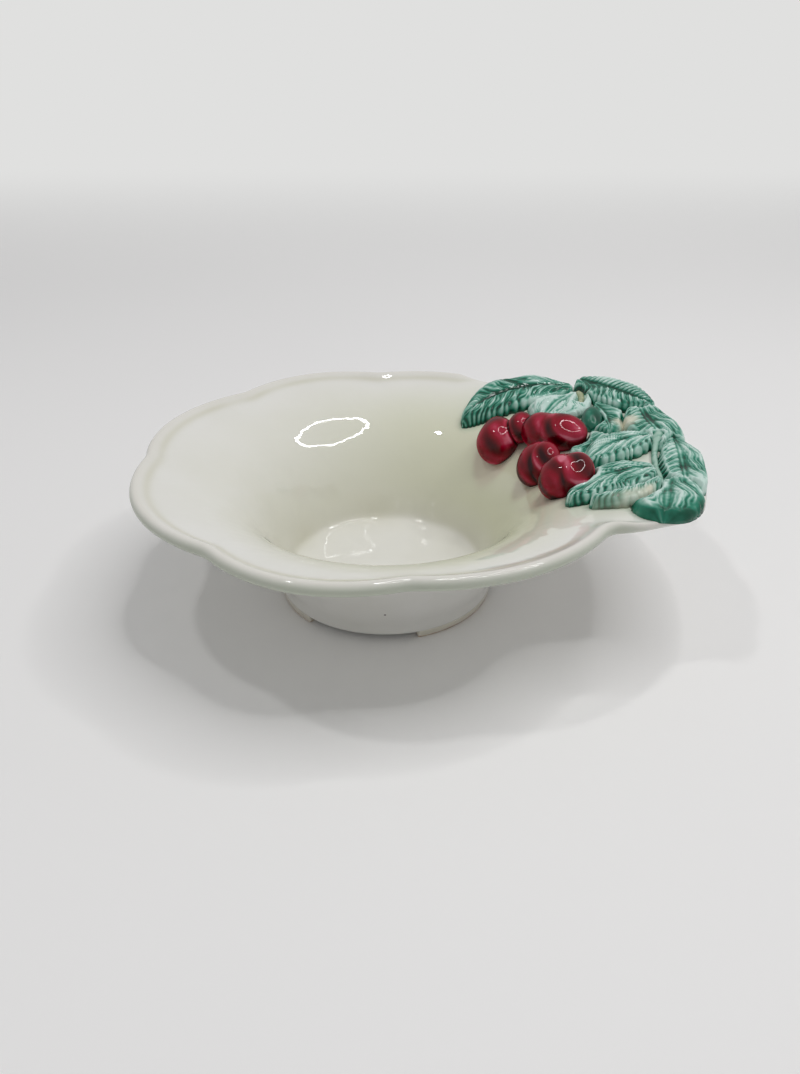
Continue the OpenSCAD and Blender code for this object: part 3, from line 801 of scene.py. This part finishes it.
class Glaze:
    """A small helper round one material's nodes."""

    def __init__(self, name):
        self.material = bpy.data.materials.new(name)
        self.material.use_nodes = True
        self.nodes = self.material.node_tree.nodes
        self.links = self.material.node_tree.links
        self.shader = self.nodes["Principled BSDF"]

    def add(self, kind, **sockets):
        node = self.nodes.new(kind)
        for key, value in sockets.items():
            self.set(node, key, value)
        return node

    def set(self, node, key, value):
        if isinstance(value, bpy.types.NodeSocket):
            self.links.new(value, node.inputs[key])
        else:
            node.inputs[key].default_value = value

    def attribute(self, name):
        node = self.nodes.new("ShaderNodeAttribute")
        node.attribute_name = name
        return node.outputs["Fac"]

    def where(self):
        return self.nodes.new("ShaderNodeTexCoord").outputs["Object"]

    def axis(self, name):
        """One coordinate of the place on the piece: X, Y or Z."""
        return self.add("ShaderNodeSeparateXYZ", Vector=self.where()).outputs[name]

    def noise(self, scale, detail=3.0):
        """Cloudy values round 0.5. A scale of 100 gives clouds of about a centimetre."""
        node = self.add("ShaderNodeTexNoise", Vector=self.where(), Scale=scale, Detail=detail)
        return node.outputs["Fac"]

    def cells(self, scale):
        node = self.add("ShaderNodeTexVoronoi", Vector=self.where(), Scale=scale)
        return node.outputs["Distance"]

    def away(self, spot):
        """Distance from a spot on the piece."""
        node = self.nodes.new("ShaderNodeVectorMath")
        node.operation = "DISTANCE"
        self.set(node, 0, self.where())
        self.set(node, 1, spot)
        return node.outputs["Value"]

    def ramp(self, value, stops):
        node = self.nodes.new("ShaderNodeValToRGB")
        while len(node.color_ramp.elements) < len(stops):
            node.color_ramp.elements.new(0.5)
        for element, (at, colour) in zip(node.color_ramp.elements, stops):
            element.position = at
            element.color = colour
        self.set(node, "Fac", value)
        return node.outputs["Color"]

    def math(self, operation, a, b, c=0.0):
        node = self.nodes.new("ShaderNodeMath")
        node.operation = operation
        for index, value in enumerate((a, b, c)):
            self.set(node, index, value)
        return node.outputs[0]

    def blend(self, share, a, b):
        """Colour a with a share of colour b over it."""
        node = self.nodes.new("ShaderNodeMix")
        node.data_type = "RGBA"
        for index, value in ((0, share), (6, a), (7, b)):
            self.set(node, index, value)
        return node.outputs[2]

    def bump(self, height, depth):
        node = self.add("ShaderNodeBump", Strength=1.0, Distance=depth, Height=height)
        return node.outputs["Normal"]


def gloss(glaze, colour, roughness, coat_roughness, normal, coat=1.0):
    """Dull colour under a clear coat, which alone reflects."""
    shader = glaze.shader
    glaze.set(shader, "Base Color", colour)
    glaze.set(shader, "Roughness", roughness)
    glaze.set(shader, "IOR", 1.5)
    glaze.set(shader, "Specular IOR Level", 0.0)
    glaze.set(shader, "Coat Weight", coat)
    glaze.set(shader, "Coat Roughness", coat_roughness)
    glaze.set(shader, "Coat IOR", 1.5)
    glaze.set(shader, "Normal", normal)
    glaze.set(shader, "Coat Normal", normal)
    return glaze.material


# The dark speck on the outside wall, in metres
SPECK = (0.00014, -0.0481, 0.0146)
SPECK_R = 0.00045


def cream_glaze():
    g = Glaze("cream_glaze")
    cloud = g.noise(28.0, 4.0)
    colour = g.ramp(cloud, [(0.35, srgb(227, 226, 219)), (0.65, srgb(231, 230, 225))])
    # In the well, a tint that is partly the glaze's own tone and partly painted shade, heavier on
    # the right wall;
    # in the crease by the bead; on the bead's top; down its outer side, partly glaze run and partly
    # painted shade;
    # and where the green and the crimson have bled
    tints = (
        ("well", 1.0, (216, 217, 192)),
        ("pool", 0.55, (206, 204, 184)),
        ("crest", 0.35, (214, 208, 196)),
        ("run", 0.7, (164, 174, 152)),
        ("green", 0.5, (150, 178, 150)),
        ("red", 0.2, (190, 140, 145)),
    )
    for name, share, tint in tints:
        colour = g.blend(g.math("MULTIPLY", g.attribute(name), share), colour, srgb(*tint))
    pinhole = g.math("LESS_THAN", g.cells(48.0), 0.011)
    colour = g.blend(g.math("MULTIPLY", pinhole, 0.7), colour, srgb(120, 100, 82))
    speck = g.math("LESS_THAN", g.away(SPECK), SPECK_R)
    colour = g.blend(g.math("MULTIPLY", speck, 0.8), colour, srgb(70, 52, 42))
    normal = g.bump(g.noise(75.0, 2.0), 0.00022)
    return gloss(g, colour, 0.35, 0.03, normal)


def green_glaze():
    g = Glaze("green_glaze")
    cloud = g.math("MULTIPLY", g.math("SUBTRACT", g.noise(170.0, 4.0), 0.5), 0.4)
    colour = g.ramp(
        g.math("ADD", g.attribute("relief"), cloud),
        [
            (0.0, srgb(0, 52, 38)),
            (0.2, srgb(0, 86, 64)),
            (0.4, srgb(30, 126, 101)),
            (0.6, srgb(104, 162, 144)),
            (0.8, srgb(158, 198, 184)),
            (1.0, srgb(204, 226, 218)),
        ],
    )
    colour = g.blend(g.attribute("bare"), colour, srgb(214, 213, 194))
    normal = g.bump(g.noise(420.0, 2.0), 0.00006)
    return gloss(g, colour, 0.35, 0.02, normal, 0.6)


def crimson_glaze():
    g = Glaze("crimson_glaze")
    cloud = g.math("MULTIPLY", g.math("SUBTRACT", g.noise(150.0, 4.0), 0.5), 0.45)
    # Pale where the glaze is thin, and in the painted sheen round the pressed top
    colour = g.ramp(
        g.math("ADD", g.attribute("thin"), cloud),
        [
            (0.05, srgb(42, 0, 4)),
            (0.3, srgb(98, 0, 14)),
            (0.55, srgb(138, 0, 30)),
            (0.75, srgb(168, 34, 62)),
            (0.95, srgb(208, 114, 132)),
        ],
    )
    normal = g.bump(g.noise(380.0, 2.0), 0.00005)
    return gloss(g, colour, 0.3, 0.015, normal, 0.5)


def bud_glaze():
    g = Glaze("bud_glaze")
    # Pale where the glaze is thin, and in the painted sheen round the pressed top
    thin = g.math("MULTIPLY", g.attribute("thin"), 0.5)
    cloud = g.math("MULTIPLY_ADD", g.noise(160.0), 0.5, thin)
    colour = g.ramp(
        cloud, [(0.3, srgb(0, 50, 38)), (0.55, srgb(0, 104, 80)), (0.8, srgb(110, 176, 156))]
    )
    return gloss(g, colour, 0.35, 0.02, g.bump(g.noise(300.0, 2.0), 0.00008), 0.75)


def twig_glaze():
    g = Glaze("twig_glaze")
    relief = g.math("MULTIPLY", g.attribute("relief"), 0.6)
    level = g.math("MULTIPLY_ADD", g.noise(300.0), 0.5, relief)
    colour = g.ramp(
        level,
        [(0.25, srgb(60, 92, 60)), (0.5, srgb(126, 124, 78)), (0.8, srgb(176, 172, 128))],
    )
    green = g.ramp(
        level,
        [(0.25, srgb(0, 70, 54)), (0.5, srgb(70, 140, 116)), (0.8, srgb(160, 194, 178))],
    )
    colour = g.blend(g.attribute("moss"), colour, green)
    normal = g.bump(g.noise(500.0, 2.0), 0.00015)
    return gloss(g, colour, 0.4, 0.1, normal)


def foot_clay():
    """Cream glaze wiped off to the bare clay where the pads stand."""
    g = Glaze("foot_clay")
    grain = g.noise(260.0, 4.0)
    level = g.math("MULTIPLY_ADD", g.math("SUBTRACT", grain, 0.5), 0.0012, g.axis("Z"))
    bare = g.math("LESS_THAN", level, 0.0006)
    clay = g.ramp(grain, [(0.3, srgb(178, 150, 122)), (0.7, srgb(205, 184, 158))])
    colour = g.blend(bare, srgb(214, 209, 194), clay)
    g.set(g.shader, "Base Color", colour)
    g.set(g.shader, "Roughness", g.math("MULTIPLY_ADD", bare, 0.5, 0.3))
    g.set(g.shader, "Coat Weight", g.math("SUBTRACT", 1.0, bare))
    g.set(g.shader, "Coat Roughness", 0.06)
    g.set(g.shader, "Normal", g.bump(grain, 0.0002))
    return g.material


# Building
cream, green, crimson = cream_glaze(), green_glaze(), crimson_glaze()
twig_brown, clay = twig_glaze(), foot_clay()
body_piece(cream)
foot_piece(clay)
for leaf_name in LEAVES:
    leaf_piece(leaf_name, green)
for cherry_name, cherry in CHERRIES.items():
    fruit_piece(cherry_name, "crimson_glaze", crimson, **cherry)
fruit_piece("leaf_bud", "green_glaze", bud_glaze(), lobes=[BUD], seed=5, flat=0.5)
for twig_name, twig_row in TWIGS.items():
    twig_piece(twig_name, twig_row, twig_brown)

NODE_FINISH = {
    "bowl_body": cream,
    "foot_pads": clay,
    **{name: green for name in LEAVES},
    "leaf_bud": green,
    **{name: crimson for name in CHERRIES},
    **{name: twig_brown for name in TWIGS},
}
for node_name, finish in NODE_FINISH.items():
    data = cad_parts[node_name].data
    data.materials.clear()
    data.materials.append(finish)


# Studio
def studio():
    """A pale sweep: a floor that curves up into a backdrop. Sizes in metres."""
    half_wide, length, front, back, curve_r = 4, 5.2, -1.6, 1.6, 0.7
    bm = bmesh.new()
    bmesh.ops.create_grid(bm, x_segments=2, y_segments=96, size=1)
    for vert in bm.verts:
        run = front + (vert.co.y + 1) / 2 * length
        bend = max(0.0, run - back)
        angle = min(bend / curve_r, math.pi / 2)
        y = min(run, back) + curve_r * math.sin(angle)
        z = curve_r * (1 - math.cos(angle)) + max(0.0, bend - curve_r * math.pi / 2)
        vert.co = (vert.co.x * half_wide, y, z)
    bmesh.ops.recalc_face_normals(bm, faces=bm.faces)
    mesh = bpy.data.meshes.new("sweep")
    bm.to_mesh(mesh)
    bm.free()
    mesh.shade_smooth()
    g = Glaze("sweep")
    paper = g.ramp(g.noise(1.5, 2.0), [(0.3, srgb(241, 240, 239)), (0.7, srgb(244, 243, 242))])
    g.set(g.shader, "Base Color", paper)
    g.set(g.shader, "Roughness", 0.8)
    glow = g.add("ShaderNodeEmission", Strength=1.0, Color=srgb(224, 224, 223))
    ray = g.nodes.new("ShaderNodeLightPath")
    seen = g.math("MAXIMUM", ray.outputs["Is Camera Ray"], ray.outputs["Is Glossy Ray"])
    # Seen directly or in the glaze, the sweep grows even towards the back
    far = g.nodes.new("ShaderNodeMapRange")
    far.interpolation_type = "SMOOTHSTEP"
    g.set(far, "Value", g.axis("Y"))
    g.set(far, "From Min", 0.25)
    g.set(far, "From Max", 1.3)
    both = g.nodes.new("ShaderNodeMixShader")
    g.links.new(g.math("MULTIPLY", seen, far.outputs["Result"]), both.inputs["Fac"])
    g.links.new(g.shader.outputs["BSDF"], both.inputs[1])
    g.links.new(glow.outputs["Emission"], both.inputs[2])
    g.links.new(both.outputs["Shader"], g.nodes["Material Output"].inputs["Surface"])
    mesh.materials.append(g.material)
    sweep = bpy.data.objects.new("sweep", mesh)
    bpy.context.scene.collection.objects.link(sweep)


def hang(name, data, at, target):
    """Hangs a lamp at a place, turned to shine at its target."""
    lamp = bpy.data.objects.new(name, data)
    lamp.location = at
    x, y, z = np.array(target) - np.array(at)
    lamp.rotation_euler = (math.pi / 2 + math.atan2(z, math.hypot(x, y)), 0, math.atan2(-x, y))
    bpy.context.scene.collection.objects.link(lamp)


def small_lamp(at, target, size, watts):
    light = bpy.data.lights.new("small_lamp", "AREA")
    light.shape = "RECTANGLE"
    light.size, light.size_y = size, size
    light.energy = watts
    hang("small_lamp", light, at, target)


def ring_lamp(at, target, inner, outer, strength):
    """A ring of light, whose mirror image is the ring that shows in the glaze."""
    bm = bmesh.new()
    bmesh.ops.create_grid(bm, x_segments=96, y_segments=1, size=0.5)
    for vert in bm.verts:
        a, r = vert.co.x * TAU, mix(inner, outer, vert.co.y + 0.5)
        vert.co = (r * math.cos(a), r * math.sin(a), 0)
    bmesh.ops.remove_doubles(bm, verts=bm.verts, dist=1e-5)
    mesh = bpy.data.meshes.new("ring_lamp")
    bm.to_mesh(mesh)
    bm.free()
    g = Glaze("ring_lamp")
    light = g.add("ShaderNodeEmission", Strength=strength, Color=(1, 1, 1, 1))
    g.links.new(light.outputs["Emission"], g.nodes["Material Output"].inputs["Surface"])
    mesh.materials.append(g.material)
    hang("ring_lamp", mesh, at, target)


def room():
    """Even light from all round. Seen directly or in the glaze, it is as pale as the floor."""
    world = bpy.data.worlds.new("room")
    world.use_nodes = True
    nodes, links = world.node_tree.nodes, world.node_tree.links
    light = nodes["Background"]
    light.inputs["Color"].default_value = srgb(244, 244, 246)
    light.inputs["Strength"].default_value = 0.42
    pale = nodes.new("ShaderNodeBackground")
    pale.inputs["Color"].default_value = srgb(222, 222, 221)
    ray = nodes.new("ShaderNodeLightPath")
    seen = nodes.new("ShaderNodeMath")
    seen.operation = "MAXIMUM"
    links.new(ray.outputs["Is Camera Ray"], seen.inputs[0])
    links.new(ray.outputs["Is Glossy Ray"], seen.inputs[1])
    both = nodes.new("ShaderNodeMixShader")
    links.new(seen.outputs[0], both.inputs["Fac"])
    links.new(light.outputs[0], both.inputs[1])
    links.new(pale.outputs[0], both.inputs[2])
    links.new(both.outputs[0], nodes["World Output"].inputs["Surface"])
    bpy.context.scene.world = world


studio()
room()
small_lamp(at=(-0.43, -0.05, 1.15), target=(0, 0.05, 0.04), size=0.07, watts=1.25)
ring_lamp(
    at=(0.43, 0.01, 1.16), target=(-0.03, 0.06, 0.05), inner=0.308, outer=0.345, strength=28.5
)

# The photo's own place and lens, as solved on the rim, the floor and the foot
camera = bpy.data.cameras.new("camera")
camera.lens = 30.17
camera.sensor_width = 36
camera.clip_start = 0.01
view = bpy.data.objects.new("camera", camera)
view.location = (0.0059, -0.3329, 0.2122)
view.rotation_euler = (math.radians(60.2), 0, 0)
bpy.context.scene.collection.objects.link(view)
bpy.context.scene.camera = view
bpy.context.scene.view_settings.view_transform = "Standard"
